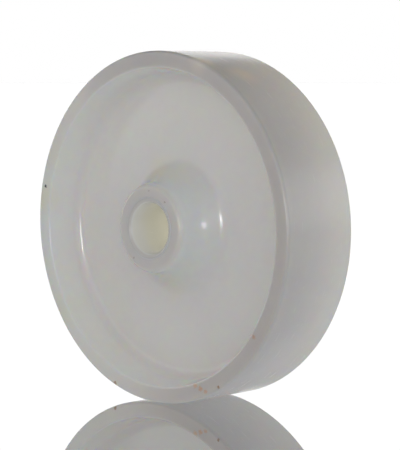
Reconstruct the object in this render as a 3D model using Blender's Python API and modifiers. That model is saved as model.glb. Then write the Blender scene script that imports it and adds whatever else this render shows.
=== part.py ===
"""Caster wheel with a plain bore: a webbed nylon moulding that turns on a loose plain bush.

The wheel's centre is the origin, the spin axis is +Y and +Z is up. Both faces are alike, so every
outline is drawn once for its upper half, with the screw axis along the local +Z, and then mirrored.
"""

import math

import bpy
from mathutils import Vector

MM = 0.001

# Rim
WHEEL_RADIUS = 37.5 * MM
TREAD_WIDTH = 20.0 * MM
TREAD_CORNER_RADIUS = 0.6 * MM
RIM_INNER_RADIUS = 34.0 * MM
RIM_INNER_CORNER_RADIUS = 0.4 * MM
RIM_DRAFT = math.radians(8.0)

# Web
WEB_THICKNESS_AT_RIM = 3.7 * MM
WEB_TAPER = math.radians(3.3)
WEB_RIM_FILLET_RADIUS = 2.4 * MM

# Hub
HUB_LENGTH = 23.8 * MM
HUB_END_RADIUS = 9.5 * MM
HUB_CORNER_RADIUS = 0.7 * MM
HUB_LIP_RADIUS = 0.1 * MM
HUB_FLARE_RADIUS = 9.4 * MM
HUB_WEB_FILLET_RADIUS = 2.0 * MM

# Bush
BUSH_LENGTH = 24.0 * MM
BUSH_BORE_RADIUS = 5.5 * MM
BUSH_WALL = 1.0 * MM
BUSH_BORE_LIP_RADIUS = 0.35 * MM
BUSH_OUTER_LIP_RADIUS = 0.05 * MM
RUNNING_CLEARANCE = 0.05 * MM

TURN_STEPS = 72
MERGE_DISTANCE = 0.0001 * MM


def arc(centre, radius, start, end, steps):
    """Points along an arc, both ends included; angles are in radians from +X towards +Z."""
    angles = [start + (end - start) * step / steps for step in range(steps + 1)]
    return [centre + radius * Vector((math.cos(angle), math.sin(angle))) for angle in angles]


def rounded_corner(before, corner, after, radius, steps):
    """The arc that rounds the corner where two straight runs of an outline meet."""
    inward = (corner - before).normalized()
    outward = (after - corner).normalized()
    turn = inward.angle_signed(outward)
    setback = radius * math.tan(abs(turn) / 2)
    side = Vector((inward.y, -inward.x)) * math.copysign(1.0, turn)
    centre = corner - inward * setback + side * radius
    start = math.atan2(-side.y, -side.x)
    return arc(centre, radius, start, start - turn, steps)


def rounded_outline(corners):
    """An outline from (point, radius, steps) corners; the first and the last stay sharp."""
    points = [corners[0][0]]
    for (before, *_), (corner, radius, steps), (after, *_) in zip(corners, corners[1:], corners[2:]):
        points += rounded_corner(before, corner, after, radius, steps)
    return points + [corners[-1][0]]


def hub_flare():
    """The hub's side: a wide arc from the hub's end, then a small fillet down to the web's slope."""
    web_normal = Vector((math.sin(WEB_TAPER), math.cos(WEB_TAPER)))
    wide_centre = Vector((HUB_END_RADIUS + HUB_FLARE_RADIUS, HUB_LENGTH / 2 - HUB_CORNER_RADIUS))
    height_over_web = (wide_centre - web_rim_corner()).dot(web_normal)
    reach = HUB_FLARE_RADIUS - HUB_WEB_FILLET_RADIUS
    sweep = math.asin((height_over_web - HUB_WEB_FILLET_RADIUS) / reach) - WEB_TAPER
    joint_angle = math.pi + sweep
    fillet_centre = wide_centre + reach * Vector((math.cos(joint_angle), math.sin(joint_angle)))
    foot_angle = 1.5 * math.pi - WEB_TAPER
    wide = arc(wide_centre, HUB_FLARE_RADIUS, math.pi, joint_angle, 5)
    fillet = arc(fillet_centre, HUB_WEB_FILLET_RADIUS, joint_angle, foot_angle, 2)
    return wide + fillet[1:]


def rim_wall_radius(height):
    """The rim's inner radius at a height above the middle plane."""
    return RIM_INNER_RADIUS - (TREAD_WIDTH / 2 - height) * math.tan(RIM_DRAFT)


def web_rim_corner():
    """Where the web's upper face would meet the rim's inner wall with no fillet."""
    height = WEB_THICKNESS_AT_RIM / 2
    return Vector((rim_wall_radius(height), height))


def whole_outline(upper):
    """Closes an upper half outline, which runs from the bore to the outside, with its mirror image."""
    lower = [Vector((point.x, -point.y)) for point in reversed(upper)]
    return upper + lower


def wheel_outline():
    bore_radius = BUSH_BORE_RADIUS + BUSH_WALL + RUNNING_CLEARANCE
    hub_top = HUB_LENGTH / 2
    tread_top = TREAD_WIDTH / 2
    flare = hub_flare()
    hub_end = rounded_outline(
        [
            (Vector((bore_radius, hub_top / 2)), 0, 0),
            (Vector((bore_radius, hub_top)), HUB_LIP_RADIUS, 2),
            (Vector((HUB_END_RADIUS, hub_top)), HUB_CORNER_RADIUS, 2),
            (flare[0], 0, 0),
        ]
    )
    rim = rounded_outline(
        [
            (flare[-1], 0, 0),
            (web_rim_corner(), WEB_RIM_FILLET_RADIUS, 4),
            (Vector((RIM_INNER_RADIUS, tread_top)), RIM_INNER_CORNER_RADIUS, 2),
            (Vector((WHEEL_RADIUS, tread_top)), TREAD_CORNER_RADIUS, 3),
            (Vector((WHEEL_RADIUS, tread_top / 2)), 0, 0),
        ]
    )
    return whole_outline(hub_end[1:-2] + flare + rim[1:-1])


def bush_outline():
    outer_radius = BUSH_BORE_RADIUS + BUSH_WALL
    top = BUSH_LENGTH / 2
    upper = rounded_outline(
        [
            (Vector((BUSH_BORE_RADIUS, top / 2)), 0, 0),
            (Vector((BUSH_BORE_RADIUS, top)), BUSH_BORE_LIP_RADIUS, 2),
            (Vector((outer_radius, top)), BUSH_OUTER_LIP_RADIUS, 1),
            (Vector((outer_radius, top / 2)), 0, 0),
        ]
    )
    return whole_outline(upper[1:-1])


def plastic(name, colour, roughness):
    material = bpy.data.materials.new(name)
    material.use_nodes = True
    shader = material.node_tree.nodes["Principled BSDF"]
    shader.inputs["Base Color"].default_value = (*colour, 1.0)
    shader.inputs["Roughness"].default_value = roughness
    shader.inputs["Metallic"].default_value = 0.0
    material.diffuse_color = (*colour, 1.0)
    return material


def turned(name, outline, material, parent, collection):
    """A solid of revolution from a closed outline in the local XZ plane, lying with its axis along +Y."""
    mesh = bpy.data.meshes.new(name)
    count = len(outline)
    edges = [(index, (index + 1) % count) for index in range(count)]
    mesh.from_pydata([(point.x, 0.0, point.y) for point in outline], edges, [])
    mesh.materials.append(material)
    piece = bpy.data.objects.new(name, mesh)
    collection.objects.link(piece)
    piece.parent = parent
    screw = piece.modifiers.new("turn", "SCREW")
    screw.axis = "Z"
    screw.angle = math.tau
    screw.steps = TURN_STEPS
    screw.render_steps = TURN_STEPS
    screw.use_merge_vertices = True
    screw.merge_threshold = MERGE_DISTANCE
    screw.use_smooth_shade = True
    return piece


def clear_scene():
    for leftover in list(bpy.data.objects):
        bpy.data.objects.remove(leftover, do_unlink=True)


def main():
    clear_scene()
    collection = bpy.data.collections.new("caster_wheel")
    bpy.context.scene.collection.children.link(collection)

    # The empty carries the spin axis: its local +Z is the wheel's axis, the world's +Y.
    spin_axis = bpy.data.objects.new("spin_axis", None)
    spin_axis.rotation_euler = (-math.pi / 2, 0.0, 0.0)
    spin_axis.empty_display_size = WHEEL_RADIUS
    collection.objects.link(spin_axis)

    nylon = plastic("natural_nylon", (0.52, 0.50, 0.47), 0.3)
    bearing_plastic = plastic("bearing_plastic", (0.56, 0.52, 0.43), 0.4)
    turned("wheel_body", wheel_outline(), nylon, spin_axis, collection)
    turned("bore_bush", bush_outline(), bearing_plastic, spin_axis, collection)


main()
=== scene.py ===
"""Looks of the caster wheel: a webbed wheel of natural translucent nylon on a plain bush.

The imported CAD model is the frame. Its faceted moulding and bush are replaced by finely turned ones of
the same size, with softer corners, a wider fillet round the hub and a finer joint between the two.
The wheel's centre is the origin, +Y is the spin axis and the front, which the photo shows, is at -Y.
"""

import math

import bpy
from mathutils import Matrix, Vector


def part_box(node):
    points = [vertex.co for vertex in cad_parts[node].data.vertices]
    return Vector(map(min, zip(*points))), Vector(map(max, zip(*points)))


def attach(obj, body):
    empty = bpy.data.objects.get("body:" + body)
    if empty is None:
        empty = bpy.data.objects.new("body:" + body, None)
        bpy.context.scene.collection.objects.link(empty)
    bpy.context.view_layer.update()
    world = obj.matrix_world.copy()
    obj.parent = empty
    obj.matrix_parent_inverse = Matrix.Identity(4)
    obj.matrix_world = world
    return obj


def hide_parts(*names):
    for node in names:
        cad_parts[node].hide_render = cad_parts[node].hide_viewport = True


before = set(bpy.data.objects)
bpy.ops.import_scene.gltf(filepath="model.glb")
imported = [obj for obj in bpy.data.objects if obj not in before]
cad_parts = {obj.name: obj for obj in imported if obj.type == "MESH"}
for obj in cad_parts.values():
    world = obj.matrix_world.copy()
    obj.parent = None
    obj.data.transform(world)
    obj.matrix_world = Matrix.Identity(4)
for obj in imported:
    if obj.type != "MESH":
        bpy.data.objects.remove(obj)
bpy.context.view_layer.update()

MM = 0.001


# ---------------------------------------------------------------- sizes

def node_extent(node):
    """(outer radius, half length along the spin axis) of a turned CAD node."""
    low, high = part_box(node)
    return high.z, high.y


WHEEL_RADIUS, HUB_HALF_LENGTH = node_extent("wheel_body")
BUSH_RADIUS, BUSH_HALF_LENGTH = node_extent("bore_bush")

TREAD_HALF_WIDTH = 10.0 * MM
TREAD_CORNER_RADIUS = 0.6 * MM
RIM_INNER_RADIUS = 34.0 * MM
RIM_INNER_CORNER_RADIUS = 0.4 * MM
RIM_DRAFT = math.radians(8.0)

WEB_HALF_THICKNESS = 1.85 * MM
WEB_TAPER = math.radians(3.3)
WEB_RIM_FILLET_RADIUS = 2.4 * MM

HUB_END_RADIUS = 9.5 * MM
HUB_CORNER_RADIUS = 1.1 * MM
HUB_LIP_RADIUS = 0.04 * MM
HUB_FLARE_RADIUS = 9.4 * MM
HUB_WEB_FILLET_RADIUS = 5.0 * MM
JOINT_WIDTH = 0.01 * MM
HUB_BORE_RADIUS = BUSH_RADIUS + JOINT_WIDTH

BUSH_BORE_RADIUS = 5.5 * MM
BUSH_BORE_LIP_RADIUS = 0.8 * MM
BUSH_OUTER_LIP_RADIUS = 0.03 * MM

TURN_STEPS = 240
ARC_STEP = math.radians(7.0)
FEWEST_ARC_STEPS = 3
LONGEST_RUN = 1.5 * MM


# ---------------------------------------------------------------- turned outlines

def arc(centre, radius, start, end):
    """Points along an arc, both ends included, at most ARC_STEP apart."""
    steps = max(FEWEST_ARC_STEPS, math.ceil(abs(end - start) / ARC_STEP))
    angles = [start + (end - start) * step / steps for step in range(steps + 1)]
    return [centre + radius * Vector((math.cos(angle), math.sin(angle))) for angle in angles]


def rounded_corner(before, corner, after, radius):
    """The arc that rounds the corner where two straight runs of an outline meet."""
    inward = (corner - before).normalized()
    outward = (after - corner).normalized()
    turn = inward.angle_signed(outward)
    side = Vector((inward.y, -inward.x)) * math.copysign(1.0, turn)
    centre = corner - inward * radius * math.tan(abs(turn) / 2) + side * radius
    start = math.atan2(-side.y, -side.x)
    return arc(centre, radius, start, start - turn)


def rounded_outline(corners):
    """An outline through (point, radius) corners; the first and the last point are left out."""
    points = []
    for (before, _), (corner, radius), (after, _) in zip(corners, corners[1:], corners[2:]):
        points += rounded_corner(before, corner, after, radius)
    return points


def web_rim_corner():
    """Where the web's face would meet the rim's inner wall with no fillet."""
    drop = TREAD_HALF_WIDTH - WEB_HALF_THICKNESS
    return Vector((RIM_INNER_RADIUS - drop * math.tan(RIM_DRAFT), WEB_HALF_THICKNESS))


def hub_flare():
    """The hub's side: a wide arc from the hub's end, then a fillet down to the web's slope."""
    web_normal = Vector((math.sin(WEB_TAPER), math.cos(WEB_TAPER)))
    wide_centre = Vector((HUB_END_RADIUS + HUB_FLARE_RADIUS, HUB_HALF_LENGTH - HUB_CORNER_RADIUS))
    height_over_web = (wide_centre - web_rim_corner()).dot(web_normal)
    reach = HUB_FLARE_RADIUS - HUB_WEB_FILLET_RADIUS
    sweep = math.asin((height_over_web - HUB_WEB_FILLET_RADIUS) / reach) - WEB_TAPER
    joint_angle = math.pi + sweep
    fillet_centre = wide_centre + reach * Vector((math.cos(joint_angle), math.sin(joint_angle)))
    foot_angle = 1.5 * math.pi - WEB_TAPER
    wide = arc(wide_centre, HUB_FLARE_RADIUS, math.pi, joint_angle)
    return wide + arc(fillet_centre, HUB_WEB_FILLET_RADIUS, joint_angle, foot_angle)[1:]


def subdivided(outline):
    """Adds points to a closed outline's straight runs, so that none is longer than LONGEST_RUN."""
    points = []
    for start, end in zip(outline, outline[1:] + outline[:1]):
        pieces = max(1, math.ceil((end - start).length / LONGEST_RUN))
        points += [start.lerp(end, piece / pieces) for piece in range(pieces)]
    return points


def whole_outline(upper):
    """Closes an upper half outline, which runs from the bore to the outside, with its mirror image."""
    lower = [Vector((point.x, -point.y)) for point in reversed(upper)]
    return subdivided(upper + lower)


def wheel_outline():
    flare = hub_flare()
    hub_end = rounded_outline([
        (Vector((HUB_BORE_RADIUS, 0.0)), 0.0),
        (Vector((HUB_BORE_RADIUS, HUB_HALF_LENGTH)), HUB_LIP_RADIUS),
        (Vector((HUB_END_RADIUS, HUB_HALF_LENGTH)), HUB_CORNER_RADIUS),
        (flare[0], 0.0),
    ])
    rim = rounded_outline([
        (flare[-1], 0.0),
        (web_rim_corner(), WEB_RIM_FILLET_RADIUS),
        (Vector((RIM_INNER_RADIUS, TREAD_HALF_WIDTH)), RIM_INNER_CORNER_RADIUS),
        (Vector((WHEEL_RADIUS, TREAD_HALF_WIDTH)), TREAD_CORNER_RADIUS),
        (Vector((WHEEL_RADIUS, 0.0)), 0.0),
    ])
    return whole_outline(hub_end[:-1] + flare + rim)


def bush_outline():
    return whole_outline(rounded_outline([
        (Vector((BUSH_BORE_RADIUS, 0.0)), 0.0),
        (Vector((BUSH_BORE_RADIUS, BUSH_HALF_LENGTH)), BUSH_BORE_LIP_RADIUS),
        (Vector((BUSH_RADIUS, BUSH_HALF_LENGTH)), BUSH_OUTER_LIP_RADIUS),
        (Vector((BUSH_RADIUS, 0.0)), 0.0),
    ]))


def turned(name, outline):
    """A closed mesh turned about +Y from an outline of (radius, height) points."""
    vertices = []
    faces = []
    count = len(outline)
    for step in range(TURN_STEPS):
        angle = math.tau * step / TURN_STEPS
        following = (step + 1) % TURN_STEPS
        for index, point in enumerate(outline):
            vertices.append((point.x * math.cos(angle), point.y, point.x * math.sin(angle)))
            after = (index + 1) % count
            faces.append((
                step * count + index, following * count + index,
                following * count + after, step * count + after,
            ))
    mesh = bpy.data.meshes.new(name)
    mesh.from_pydata(vertices, [], faces)
    mesh.validate()
    mesh.shade_smooth()
    piece = bpy.data.objects.new(name, mesh)
    bpy.context.scene.collection.objects.link(piece)
    return piece


# ---------------------------------------------------------------- node graphs

NOISE_MIDDLE = (0.3, 0.7)


class Graph:
    """Short calls for building the node graph of a material or a world."""

    def __init__(self, owner):
        owner.use_nodes = True
        self.nodes = owner.node_tree.nodes
        self.links = owner.node_tree.links

    def feed(self, socket, value):
        """Sets a socket from another node's output, a number or a vector."""
        if isinstance(value, bpy.types.NodeSocket):
            self.links.new(value, socket)
        else:
            socket.default_value = value

    def maths(self, operation, *operands):
        node = self.nodes.new("ShaderNodeMath")
        node.operation = operation
        for socket, operand in zip(node.inputs, operands):
            self.feed(socket, operand)
        return node.outputs["Value"]

    def vector(self, operation, *operands):
        node = self.nodes.new("ShaderNodeVectorMath")
        node.operation = operation
        for socket, operand in zip(node.inputs, operands):
            self.feed(socket, operand)
        return node.outputs["Value" if operation in ("DOT_PRODUCT", "DISTANCE", "LENGTH") else "Vector"]

    def scaled(self, vector, factor):
        node = self.nodes.new("ShaderNodeVectorMath")
        node.operation = "SCALE"
        self.feed(node.inputs[0], vector)
        self.feed(node.inputs["Scale"], factor)
        return node.outputs["Vector"]

    def ramp(self, value, start, end, low=0.0, high=1.0, smooth=True):
        """Goes from low to high as the value goes from start to end, and stays there."""
        node = self.nodes.new("ShaderNodeMapRange")
        node.interpolation_type = "SMOOTHSTEP" if smooth else "LINEAR"
        for name, number in (("Value", value), ("From Min", start), ("From Max", end)):
            self.feed(node.inputs[name], number)
        node.inputs["To Min"].default_value = low
        node.inputs["To Max"].default_value = high
        return node.outputs["Result"]

    def spread(self, noise, low, high):
        """Stretches the middle of a noise's values evenly over low to high."""
        return self.ramp(noise, *NOISE_MIDDLE, low, high, smooth=False)

    def blend(self, factor, first, second, kind="MIX"):
        """Goes from the first colour to the second, or with MULTIPLY to their product, by the factor."""
        node = self.nodes.new("ShaderNodeMix")
        node.data_type = "RGBA"
        node.blend_type = kind
        factor_socket = node.inputs[0]
        first_socket, second_socket = [socket for socket in node.inputs if socket.type == "RGBA"]
        self.feed(factor_socket, factor)
        self.feed(first_socket, first)
        self.feed(second_socket, second)
        return next(socket for socket in node.outputs if socket.type == "RGBA")

    def noise(self, place, scale, detail=2.0, roughness=0.5):
        node = self.nodes.new("ShaderNodeTexNoise")
        self.feed(node.inputs["Vector"], place)
        node.inputs["Scale"].default_value = scale
        node.inputs["Detail"].default_value = detail
        node.inputs["Roughness"].default_value = roughness
        return node.outputs["Fac"]

    def mixed(self, factor, first, second):
        """Goes from the first shader to the second as the factor goes from 0 to 1."""
        node = self.nodes.new("ShaderNodeMixShader")
        self.feed(node.inputs["Fac"], factor)
        self.feed(node.inputs[1], first)
        self.feed(node.inputs[2], second)
        return node.outputs["Shader"]

    def background(self, colour):
        node = self.nodes.new("ShaderNodeBackground")
        self.feed(node.inputs["Color"], colour)
        return node.outputs["Background"]

    def joined(self, x, y, z):
        node = self.nodes.new("ShaderNodeCombineXYZ")
        for socket, value in zip(node.inputs, (x, y, z)):
            self.feed(socket, value)
        return node.outputs["Vector"]

    def bump(self, height, distance, before=None):
        """A normal from a height between 0 and 1 that stands for a distance in metres."""
        node = self.nodes.new("ShaderNodeBump")
        node.inputs["Distance"].default_value = distance
        self.feed(node.inputs["Height"], height)
        if before is not None:
            self.feed(node.inputs["Normal"], before)
        return node.outputs["Normal"]

    def place_in_mm(self):
        """The point on the piece in millimetres, as (vector, x, y, z)."""
        place = self.scaled(self.nodes.new("ShaderNodeTexCoord").outputs["Object"], 1.0 / MM)
        split = self.nodes.new("ShaderNodeSeparateXYZ")
        self.feed(split.inputs[0], place)
        return place, split.outputs["X"], split.outputs["Y"], split.outputs["Z"]


# ---------------------------------------------------------------- noises

# Each has its scale, its levels of detail and, where it isn't the usual 0.5, how strong the finer
# levels are. The scale is in features per millimetre, before any stretch of the place.
CLOUDS = {"scale": 0.07, "detail": 3.0}
MOTTLE = {"scale": 0.5, "detail": 2.0}
RAGGED_EDGES = {"scale": 3.0, "detail": 3.0, "roughness": 0.6}
WAVINESS = {"scale": 0.12, "detail": 1.0}
GRAIN = {"scale": 2.2, "detail": 3.0, "roughness": 0.6}
SCUFFS = {"scale": 1.0, "detail": 4.0, "roughness": 0.65}
BUSH_CLOUDS = {"scale": 0.25, "detail": 3.0}
BUSH_GRAIN = {"scale": 3.0, "detail": 3.0, "roughness": 0.6}
FLOOR_SMEARS = {"scale": 0.01, "detail": 3.0}


# ---------------------------------------------------------------- scattering plastic

WHITE = (1.0, 1.0, 1.0, 1.0)


def scattering_plastic(graph, colour, roughness, normal, scatter, index):
    """A plastic whose colour all comes from light that has scattered below its surface.

    The scatter is a length in metres and its share for red, green and blue.
    """
    scatter_length, scatter_by_colour = scatter
    shader = graph.nodes["Principled BSDF"]
    settings = {
        "Base Color": colour,
        "Roughness": roughness,
        "Normal": normal,
        "Subsurface Weight": 1.0,
        "Subsurface Radius": scatter_by_colour,
        "Subsurface Scale": scatter_length,
        "IOR": index,
    }
    for name, value in settings.items():
        graph.feed(shader.inputs[name], value)
    return shader


# ---------------------------------------------------------------- nylon

# Nylon's own colour, near white because light leaves it after many scatterings. The hub's colour is
# painted yellower, for light come through its thick nylon, and the hub's end is painted darker and
# browner, as shade.
CLEAR_NYLON = (0.985, 0.970, 0.940, 1.0)
HUB_NYLON_PAINTED_WARM = (0.988, 0.966, 0.910, 1.0)
SHADED_HUB_END_NYLON = (0.860, 0.822, 0.785, 1.0)
CLOUD_SHADE = (0.955, 1.0)
MOTTLE_SHADE = (0.985, 1.0)

# Painted shade: the rim is painted darker on one side and towards its front, where less light comes
# through it. The side's direction is given from +X towards +Z, and its reach is the cosine of the angle
# from it, where the rim is palest and where its painted shade is deepest.
SHADED_RIM_SIDE = math.radians(15.0)
SHADED_RIM_SIDE_REACH = (-1.0, 0.2)
PAINTED_RIM_SHADE = (0.72, 0.715, 0.715, 1.0)
PALE_RIM = (0.985, 0.965, 0.93, 1.0)
# Painted shade on the rim's front face, deepest on the shaded side and a quarter as deep away from it, and
# on the front outer corner of the shaded side.
RIM_FACE_PAINTED_SHADE = (0.97, 0.945, 0.93, 1.0)
RIM_FACE_PAINTED_SHADE_AWAY = 0.25
RIM_CORNER_PAINTED_SHADE = (0.90, 0.91, 0.92, 1.0)

# Where one zone of the moulding fades into the next: pairs of millimetres, by the distance from the
# axis (radius), by the distance from the middle plane (height), or by the place along +Y.
HUB_RADIUS = (17.0, 10.0)
HUB_END_HEIGHT = (10.6, 11.6)
RIM_RADIUS = (33.6, 34.6)
RIM_BACK_TO_FRONT = (9.0, -10.0)
RIM_FACE_HEIGHT = (9.3, 9.9)
RIM_CORNER_RADIUS = (36.7, 37.3)
RIM_CORNER_HEIGHT = (9.1, 9.6)
TREAD_RADIUS = (37.1, 37.4)

# The wall round the bush is white and, at its ends, scatters over a shorter way. Otherwise light is
# lost in the joint with the bush, and a dark ring shows.
BUSH_SEAT_RADIUS = (6.58, 6.53)
SHORT_SCATTER_RADIUS = (9.4, 7.6)
SHORT_SCATTER_HEIGHT = (10.8, 11.6)
SCATTER_LENGTH = 4.0 * MM
SHORT_SCATTER_LENGTH = 0.5 * MM
SCATTER_BY_COLOUR = (1.0, 0.74, 0.42)

# Places along +Y of the front faces of the rim and the hub, in millimetres.
RIM_FACE = -TREAD_HALF_WIDTH / MM
HUB_FACE = -HUB_HALF_LENGTH / MM

# Painted light with soft edges, and two warm patches: (degrees round from +X towards +Z, radius, place
# along +Y, reach, all in mm, colour, depth).
PAINTED_LIGHT_AND_PATCHES = (
    # Painted warm light on the web's upper part.
    (70.0, 22.0, -1.5, 18.0, (0.975, 0.940, 0.895), 0.6),
    # Painted light: the web's lower part and the rim's left inner wall made paler and cooler.
    (-100.0, 24.0, -1.5, 17.0, (0.998, 0.988, 0.978), 0.9),
    (-45.0, 27.0, -1.5, 14.0, (0.998, 0.988, 0.975), 0.9),
    (180.0, 33.0, -6.0, 18.0, (0.998, 0.985, 0.975), 0.8),
    # Painted yellow glows at the hub's upper left, top and bottom, for light come through its thick nylon.
    (116.0, 12.5, -5.0, 7.0, (1.00, 0.935, 0.77), 0.95),
    (78.0, 12.0, -5.0, 6.0, (1.00, 0.955, 0.84), 0.9),
    (-98.0, 12.0, -4.5, 7.0, (1.00, 0.960, 0.80), 0.95),
    # Painted warm light along the rim's left outer edge, come through the rim.
    (172.0, 36.8, -9.8, 7.0, (1.00, 0.885, 0.75), 0.95),
    (155.0, 37.2, -9.8, 8.0, (1.00, 0.900, 0.80), 0.85),
    (135.0, 37.2, -9.8, 8.0, (0.99, 0.905, 0.82), 0.75),
    (-160.0, 37.2, -9.8, 8.0, (1.00, 0.910, 0.82), 0.70),
    (-145.0, 37.2, -9.8, 8.0, (0.99, 0.890, 0.78), 0.75),
    # Warm patches on the tread's upper right.
    (60.0, 37.5, -2.5, 5.0, (0.97, 0.865, 0.77), 0.75),
    (70.0, 37.5, -8.5, 4.0, (0.96, 0.850, 0.74), 0.80),
)

# Small stains and specks, listed as the tints are but with a size for the reach.
HUB_SPECK = (0.45, 0.38, 0.30)
MARKS = (
    (168.0, 36.0, RIM_FACE, 0.50, (0.02, 0.015, 0.01), 1.0),
    (-110.0, 37.0, RIM_FACE, 0.60, (0.42, 0.27, 0.16), 0.80),
    (-70.0, 34.5, RIM_FACE, 0.80, (0.80, 0.50, 0.28), 0.60),
    (-68.0, 35.5, RIM_FACE, 0.75, (0.76, 0.44, 0.22), 0.65),
    (-66.0, 36.5, RIM_FACE, 0.60, (0.72, 0.42, 0.24), 0.60),
    (-60.0, 37.0, RIM_FACE, 0.50, (0.36, 0.22, 0.14), 0.80),
    (-36.0, 35.0, RIM_FACE, 0.60, (0.66, 0.40, 0.22), 0.65),
    (90.0, 8.0, HUB_FACE, 0.30, HUB_SPECK, 0.60),
    (50.0, 7.5, HUB_FACE, 0.30, HUB_SPECK, 0.60),
    (-125.0, 8.0, HUB_FACE, 0.30, HUB_SPECK, 0.60),
)
MARK_EDGE_NOISE = (0.2, 0.8)
MARK_EDGE = 0.5
MARK_CORE = 0.35

# Surface: roughness, and the heights that the bumps stand for.
NYLON_ROUGHNESS = (0.15, 0.22)
TREAD_ROUGHNESS = 0.03
SCUFF_ROUGHNESS = 0.10
WAVE_HEIGHT = 0.10 * MM
GRAIN_HEIGHT = 0.006 * MM
SCUFF_HEIGHT = 0.003 * MM
SCUFF_STRETCH = (0.12, 2.4)
SCUFF_SHARE = (0.56, 0.72)
NYLON_INDEX = 1.53


def zoned_colour(graph, y, radius, height, outward):
    """Painted light and shade: a hub painted yellower and a hub end painted darker and browner, and a rim
    painted darker towards its front on one side, with painted shade on its front face and front corner.
    """
    in_hub = graph.ramp(radius, *HUB_RADIUS)
    # Painted warm light on the hub, and painted shade on the hub's end.
    colour = graph.blend(in_hub, CLEAR_NYLON, HUB_NYLON_PAINTED_WARM)
    colour = graph.blend(graph.ramp(height, *HUB_END_HEIGHT), colour, SHADED_HUB_END_NYLON)

    side_axis = (math.cos(SHADED_RIM_SIDE), 0.0, math.sin(SHADED_RIM_SIDE))
    side = graph.ramp(graph.vector("DOT_PRODUCT", outward, side_axis), *SHADED_RIM_SIDE_REACH)
    in_rim = graph.ramp(radius, *RIM_RADIUS)
    to_front = graph.ramp(y, *RIM_BACK_TO_FRONT, smooth=False)
    # Painted shade on the rim, towards its front on the shaded side.
    rim_shade_mask = graph.maths("MULTIPLY", graph.maths("MULTIPLY", in_rim, to_front), side)
    colour = graph.blend(in_rim, colour, PALE_RIM)
    colour = graph.blend(rim_shade_mask, colour, PAINTED_RIM_SHADE)

    # Painted shade on the rim's front outer corner and on its front face.
    near_tread = graph.ramp(radius, *RIM_CORNER_RADIUS)
    on_corner = graph.maths("MULTIPLY", near_tread, graph.ramp(height, *RIM_CORNER_HEIGHT))
    colour = graph.blend(graph.maths("MULTIPLY", on_corner, side), colour, RIM_CORNER_PAINTED_SHADE, "MULTIPLY")
    on_face = graph.maths("MULTIPLY", in_rim, graph.ramp(height, *RIM_FACE_HEIGHT))
    face_shade = graph.ramp(side, 0.0, 1.0, RIM_FACE_PAINTED_SHADE_AWAY, 1.0, smooth=False)
    return graph.blend(graph.maths("MULTIPLY", on_face, face_shade), colour, RIM_FACE_PAINTED_SHADE, "MULTIPLY")


def clouded(graph, colour, place):
    """Milky clouds and a finer mottle."""
    cloud_shade = graph.spread(graph.noise(place, **CLOUDS), *CLOUD_SHADE)
    mottle_shade = graph.spread(graph.noise(place, **MOTTLE), *MOTTLE_SHADE)
    shade = graph.maths("MULTIPLY", cloud_shade, mottle_shade)
    return graph.blend(1.0, colour, graph.joined(shade, shade, shade), "MULTIPLY")


def distance_from(graph, place, angle, radius, along):
    """How far a place is from a point on the moulding, given as the lists of painted light and of marks
    give it.
    """
    turn = math.radians(angle)
    centre = (radius * math.cos(turn), along, radius * math.sin(turn))
    return graph.vector("DISTANCE", place, centre)


def with_painted_light_and_patches(graph, colour, place):
    """Painted light, and two warm patches, with soft edges."""
    for angle, radius, along, reach, tint_colour, depth in PAINTED_LIGHT_AND_PATCHES:
        distance = distance_from(graph, place, angle, radius, along)
        tint = graph.ramp(distance, reach, 0.0, 0.0, depth)
        colour = graph.blend(tint, colour, (*tint_colour, 1.0))
    return colour


def marked(graph, colour, place):
    """Marks with ragged edges."""
    ragged = graph.noise(place, **RAGGED_EDGES)
    for angle, radius, along, size, mark_colour, depth in MARKS:
        distance = distance_from(graph, place, angle, radius, along)
        stray = graph.ramp(ragged, *MARK_EDGE_NOISE, -MARK_EDGE * size, MARK_EDGE * size)
        mark = graph.ramp(graph.maths("ADD", distance, stray), size, MARK_CORE * size, 0.0, depth)
        colour = graph.blend(mark, colour, (*mark_colour, 1.0))
    return colour


def nylon_surface(graph, place, y, radius, around):
    """(roughness, normal): moulded waviness, fine grain, and scuffs that run round the tread."""
    scuff_along, scuff_across = SCUFF_STRETCH
    scuff_place = graph.joined(
        graph.maths("MULTIPLY", around, scuff_along), graph.maths("MULTIPLY", y, scuff_across), 0.0,
    )
    scuffs = graph.ramp(graph.noise(scuff_place, **SCUFFS), *SCUFF_SHARE)
    on_tread = graph.ramp(radius, *TREAD_RADIUS)
    tread_scuffs = graph.maths("MULTIPLY", scuffs, on_tread)
    grain = graph.noise(place, **GRAIN)
    roughness = graph.spread(grain, *NYLON_ROUGHNESS)
    roughness = graph.maths("ADD", roughness, graph.maths("MULTIPLY", on_tread, TREAD_ROUGHNESS))
    roughness = graph.maths("ADD", roughness, graph.maths("MULTIPLY", tread_scuffs, SCUFF_ROUGHNESS))
    normal = graph.bump(graph.noise(place, **WAVINESS), WAVE_HEIGHT)
    normal = graph.bump(grain, GRAIN_HEIGHT, normal)
    normal = graph.bump(tread_scuffs, SCUFF_HEIGHT, normal)
    return roughness, normal


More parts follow.
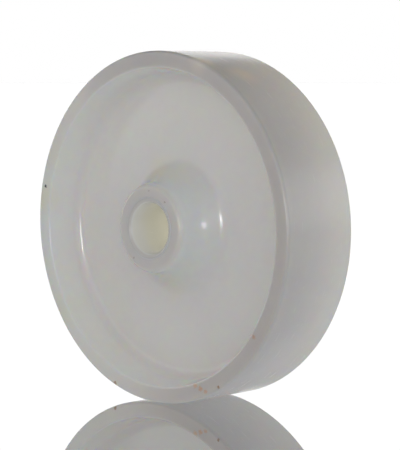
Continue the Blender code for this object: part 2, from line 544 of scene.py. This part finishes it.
def nylon():
    """Natural nylon: milky and translucent, with a colour that changes from place to place, partly as
    painted light and shade.
    """
    material = bpy.data.materials.new("moulded_nylon")
    graph = Graph(material)
    place, x, y, z = graph.place_in_mm()
    flat = graph.joined(x, 0.0, z)
    radius = graph.vector("LENGTH", flat)
    outward = graph.vector("NORMALIZE", flat)
    height = graph.maths("ABSOLUTE", y)

    colour = zoned_colour(graph, y, radius, height, outward)
    colour = clouded(graph, colour, place)
    # Painted light, and two warm patches.
    colour = with_painted_light_and_patches(graph, colour, place)
    colour = marked(graph, colour, place)
    colour = graph.blend(graph.ramp(radius, *BUSH_SEAT_RADIUS), colour, WHITE)

    around = graph.maths("MULTIPLY", graph.maths("ARCTAN2", z, x), radius)
    roughness, normal = nylon_surface(graph, place, y, radius, around)

    hub_end = graph.ramp(height, *SHORT_SCATTER_HEIGHT)
    near_bush = graph.maths("MULTIPLY", graph.ramp(radius, *SHORT_SCATTER_RADIUS), hub_end)
    length = graph.ramp(near_bush, 0.0, 1.0, SCATTER_LENGTH, SHORT_SCATTER_LENGTH, smooth=False)
    scattering_plastic(graph, colour, roughness, normal, (length, SCATTER_BY_COLOUR), NYLON_INDEX)
    return material


# ---------------------------------------------------------------- bearing plastic

# Painted light: the bore is painted yellower deep inside, and has a faint glow, both standing for light
# come through the hub.
BORE_DEEP_PAINTED_LIGHT = (0.996, 0.982, 0.880, 1.0)
BORE_MOUTH_COLOUR = (0.970, 0.968, 0.955, 1.0)
BORE_GLOW = (0.038, 0.036, 0.034)
# Painted shade: the bush's end is darker, like the hub's shaded end, so that its rounded lip doesn't show
# as a pale ring.
SHADED_BUSH_END_COLOUR = (0.79, 0.755, 0.715, 1.0)

# Pairs of millimetres, as for the nylon. The clouds shift the height by CLOUD_SHIFT either way.
MOUTH_HEIGHT = (6.4, 10.2)
GLOW_HEIGHT = (6.0, 1.0)
CLOUD_SHIFT = 0.6
BUSH_END_RADIUS = (5.50, 5.80)
BUSH_OUTSIDE_RADIUS = (6.44, 6.48)

BUSH_ROUGHNESS = (0.16, 0.28)
BUSH_GRAIN_HEIGHT = 0.005 * MM
BUSH_GRAIN_STRETCH = 0.2
BUSH_SCATTER_LENGTH = 1.0 * MM
BUSH_SCATTER_BY_COLOUR = (1.0, 1.0, 1.0)
BUSH_INDEX = 1.5


def bearing_plastic():
    """Cream-white bearing plastic, with a grain drawn out along the bore, painted yellower deep in the
    bore and darker at its ends.
    """
    material = bpy.data.materials.new("moulded_bearing_plastic")
    graph = Graph(material)
    place, x, y, z = graph.place_in_mm()
    radius = graph.vector("LENGTH", graph.joined(x, 0.0, z))
    shift = graph.ramp(graph.noise(place, **BUSH_CLOUDS), *NOISE_MIDDLE, -CLOUD_SHIFT, CLOUD_SHIFT)
    height = graph.maths("ADD", graph.maths("ABSOLUTE", y), shift)

    # The bore painted yellower deep inside, for light come through the hub.
    colour = graph.blend(graph.ramp(height, *MOUTH_HEIGHT), BORE_DEEP_PAINTED_LIGHT, BORE_MOUTH_COLOUR)
    # Painted shade on the bush's end.
    colour = graph.blend(graph.ramp(radius, *BUSH_END_RADIUS), colour, SHADED_BUSH_END_COLOUR)
    colour = graph.blend(graph.ramp(radius, *BUSH_OUTSIDE_RADIUS), colour, WHITE)

    drawn_out = graph.joined(x, graph.maths("MULTIPLY", y, BUSH_GRAIN_STRETCH), z)
    grain = graph.noise(drawn_out, **BUSH_GRAIN)
    roughness = graph.spread(grain, *BUSH_ROUGHNESS)
    normal = graph.bump(grain, BUSH_GRAIN_HEIGHT)
    scatter = (BUSH_SCATTER_LENGTH, BUSH_SCATTER_BY_COLOUR)
    shader = scattering_plastic(graph, colour, roughness, normal, scatter, BUSH_INDEX)
    graph.feed(shader.inputs["Emission Color"], graph.scaled(BORE_GLOW, graph.ramp(height, *GLOW_HEIGHT)))
    shader.inputs["Emission Strength"].default_value = 1.0
    return material


# ---------------------------------------------------------------- pieces

def build_pieces():
    wheel = turned("nylon_wheel", wheel_outline())
    wheel.data.materials.append(nylon())
    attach(wheel, "wheel")
    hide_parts("wheel_body")

    bush = turned("plain_bush", bush_outline())
    bush.data.materials.append(bearing_plastic())
    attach(bush, "bush")
    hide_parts("bore_bush")


# ---------------------------------------------------------------- camera

CAMERA_AZIMUTH = math.radians(44.0)
CAMERA_ELEVATION = math.radians(4.585)
CAMERA_DISTANCE = 10.383 * WHEEL_RADIUS
CAMERA_SIDE_STEP = 0.0682 * WHEEL_RADIUS
CAMERA_RISE = 0.0011 * WHEEL_RADIUS
CAMERA_LENS_MM = 144.0
CAMERA_SENSOR_MM = 36.0
CAMERA_FAR = 100.0

UPWARD = Vector((0.0, 0.0, 1.0))


def camera_direction(azimuth, elevation):
    """Unit vector from the wheel towards a viewer; azimuth 0 faces the wheel's front, at -Y."""
    flat = math.cos(elevation)
    return Vector((math.sin(azimuth) * flat, -math.cos(azimuth) * flat, math.sin(elevation)))


def turned_and_placed(across, upright, back, place):
    """The matrix of a camera or lamp that looks away from its back."""
    return Matrix.Translation(place) @ Matrix((across, upright, back)).transposed().to_4x4()


def build_camera():
    back = camera_direction(CAMERA_AZIMUTH, CAMERA_ELEVATION)
    right = Vector((math.cos(CAMERA_AZIMUTH), math.sin(CAMERA_AZIMUTH), 0.0))
    up = back.cross(right)
    data = bpy.data.cameras.new("photo_camera")
    data.lens = CAMERA_LENS_MM
    data.sensor_width = CAMERA_SENSOR_MM
    data.clip_end = CAMERA_FAR
    camera = bpy.data.objects.new("photo_camera", data)
    place = back * CAMERA_DISTANCE + right * CAMERA_SIDE_STEP + up * CAMERA_RISE
    camera.matrix_world = turned_and_placed(right, up, back, place)
    bpy.context.scene.collection.objects.link(camera)
    bpy.context.scene.camera = camera


# ---------------------------------------------------------------- studio light

# Light passes many times through the nylon and across the bore before it reaches the camera.
LIGHT_BOUNCES = 24

# The studio has two colours of soft light: cool in front and from the left, and warm from behind.
COOL_LIGHT = (0.95, 0.97, 1.00)
WARM_LIGHT = (1.00, 0.91, 0.73)

# Broad soft lights round the wheel: (degrees round from the camera's side towards the picture's
# right, degrees above the horizon, tightness, colour, strength).
SOFT_LIGHTS = (
    (0.0, 5.0, 8.0, COOL_LIGHT, 0.9),
    (45.0, 5.0, 8.0, COOL_LIGHT, 0.7),
    (0.0, 40.0, 6.0, COOL_LIGHT, 0.4),
    (270.0, 40.0, 6.0, COOL_LIGHT, 0.5),
    (135.0, 5.0, 8.0, WARM_LIGHT, 1.7),
    (225.0, 5.0, 8.0, WARM_LIGHT, 0.3),
)

# Reflections also show a pale wall all round. It fades out between WALL_TOP and WALL_FADE.
WALL_STRENGTH = 1.28
WALL_TOP = math.radians(17.0)
WALL_FADE = math.radians(32.0)

# Upright strip lights, which show as highlights and don't light the nylon's body: (degrees round
# from the camera's side towards the picture's right, power in watts).
STRIP_LIGHTS = (
    (-29.0, 5.0),
    (33.0, 2.8),
)
STRIP_DISTANCE = 1.5
STRIP_WIDTH = 0.24
STRIP_HEIGHT = 0.36
STRIP_RISE = 0.05


def soft_light(graph, ray):
    """The colour of the soft lights together, as seen along a ray."""
    total = (0.0, 0.0, 0.0)
    for around, above, tightness, colour, strength in SOFT_LIGHTS:
        direction = camera_direction(CAMERA_AZIMUTH + math.radians(around), math.radians(above))
        drop = graph.maths("SUBTRACT", graph.vector("DOT_PRODUCT", ray, direction), 1.0)
        fall = graph.maths("EXPONENT", graph.maths("MULTIPLY", drop, tightness))
        total = graph.vector("ADD", graph.scaled(colour, graph.maths("MULTIPLY", fall, strength)), total)
    return total


def build_world():
    """Soft light on the wheel, the same light and a pale wall in reflections, and white for the camera."""
    world = bpy.data.worlds.new("studio_world")
    bpy.context.scene.world = world
    graph = Graph(world)
    ray = graph.nodes.new("ShaderNodeTexCoord").outputs["Generated"]
    total = soft_light(graph, ray)
    rise = graph.nodes.new("ShaderNodeSeparateXYZ")
    graph.feed(rise.inputs[0], ray)
    wall = graph.ramp(rise.outputs["Z"], math.sin(WALL_FADE), math.sin(WALL_TOP), 0.0, WALL_STRENGTH)
    lighting = graph.nodes["Background"]
    graph.feed(lighting.inputs["Color"], total)
    mirrored = graph.background(graph.vector("MAXIMUM", total, graph.joined(wall, wall, wall)))
    path = graph.nodes.new("ShaderNodeLightPath")
    by_gloss = graph.mixed(path.outputs["Is Glossy Ray"], lighting.outputs["Background"], mirrored)
    seen = graph.mixed(path.outputs["Is Camera Ray"], by_gloss, graph.background(WHITE))
    graph.feed(graph.nodes["World Output"].inputs["Surface"], seen)


def build_strip_lights():
    for number, (around, power) in enumerate(STRIP_LIGHTS):
        data = bpy.data.lights.new("strip_light_%d" % number, "AREA")
        data.shape = "RECTANGLE"
        data.size = STRIP_WIDTH
        data.size_y = STRIP_HEIGHT
        data.energy = power
        lamp = bpy.data.objects.new(data.name, data)
        lamp.visible_diffuse = False
        away = camera_direction(CAMERA_AZIMUTH + math.radians(around), 0.0)
        place = away * STRIP_DISTANCE + UPWARD * STRIP_RISE
        lamp.matrix_world = turned_and_placed(UPWARD.cross(away), UPWARD, away, place)
        bpy.context.scene.collection.objects.link(lamp)


# ---------------------------------------------------------------- floor

FLOOR_REACH = 60.0
FLOOR_GAP = 0.02 * MM

# What the camera sees of the floor from above, and what the wheel gets from it.
ACRYLIC_COLOUR = (0.90, 0.90, 0.90, 1.0)
ACRYLIC_ROUGHNESS = 0.5
ACRYLIC_PALENESS = 0.55
FLOOR_FILL = 0.45

# The mirror takes over as the view goes from steep to grazing. With the wall's strength it has to
# give at least 1, for a white floor.
FLOOR_MIRROR = 0.80
MIRROR_SLANT = (0.40, 0.76)
MIRROR_ROUGHNESS = (0.010, 0.025)


def pale_acrylic(graph):
    acrylic = graph.nodes["Principled BSDF"]
    acrylic.inputs["Base Color"].default_value = ACRYLIC_COLOUR
    acrylic.inputs["Roughness"].default_value = ACRYLIC_ROUGHNESS
    acrylic.inputs["Specular IOR Level"].default_value = 0.0
    acrylic.inputs["Emission Color"].default_value = WHITE
    acrylic.inputs["Emission Strength"].default_value = ACRYLIC_PALENESS
    return acrylic.outputs["BSDF"]


def floor_fill(graph):
    """The steady soft light that the wheel gets from the floor."""
    fill = graph.nodes.new("ShaderNodeEmission")
    fill.inputs["Strength"].default_value = FLOOR_FILL
    fill.inputs["Color"].default_value = (*COOL_LIGHT, 1.0)
    return fill.outputs["Emission"]


def floor_mirror(graph):
    """A mirror with faint smears."""
    place, *_ = graph.place_in_mm()
    mirror = graph.nodes.new("ShaderNodeBsdfGlossy")
    mirror.inputs["Color"].default_value = (FLOOR_MIRROR, FLOOR_MIRROR, FLOOR_MIRROR, 1.0)
    smears = graph.ramp(graph.noise(place, **FLOOR_SMEARS), *NOISE_MIDDLE, *MIRROR_ROUGHNESS)
    graph.feed(mirror.inputs["Roughness"], smears)
    return mirror.outputs["BSDF"]


def floor_material():
    """Gloss white acrylic: a mirror at grazing angles, pale from above, and a soft light on the wheel."""
    material = bpy.data.materials.new("gloss_white_floor")
    material.cycles.emission_sampling = "NONE"
    graph = Graph(material)
    path = graph.nodes.new("ShaderNodeLightPath")
    pale = graph.mixed(path.outputs["Is Camera Ray"], floor_fill(graph), pale_acrylic(graph))
    slant = graph.nodes.new("ShaderNodeLayerWeight")
    slant.inputs["Blend"].default_value = 0.5
    grazing = graph.ramp(slant.outputs["Facing"], *MIRROR_SLANT)
    not_diffuse = graph.maths("SUBTRACT", 1.0, path.outputs["Is Diffuse Ray"])
    gloss = graph.mixed(graph.maths("MULTIPLY", grazing, not_diffuse), pale, floor_mirror(graph))
    graph.feed(graph.nodes["Material Output"].inputs["Surface"], gloss)
    return material


def build_floor():
    mesh = bpy.data.meshes.new("studio_floor")
    height = -WHEEL_RADIUS - FLOOR_GAP
    corners = [
        (-FLOOR_REACH, -FLOOR_REACH, height),
        (FLOOR_REACH, -FLOOR_REACH, height),
        (FLOOR_REACH, FLOOR_REACH, height),
        (-FLOOR_REACH, FLOOR_REACH, height),
    ]
    mesh.from_pydata(corners, [], [(0, 1, 2, 3)])
    mesh.materials.append(floor_material())
    floor = bpy.data.objects.new("studio_floor", mesh)
    bpy.context.scene.collection.objects.link(floor)


# ---------------------------------------------------------------- scene

def build_studio():
    build_camera()
    build_floor()
    build_world()
    build_strip_lights()
    scene = bpy.context.scene
    scene.view_settings.view_transform = "Standard"
    scene.cycles.max_bounces = LIGHT_BOUNCES
    scene.cycles.diffuse_bounces = LIGHT_BOUNCES


build_studio()
build_pieces()
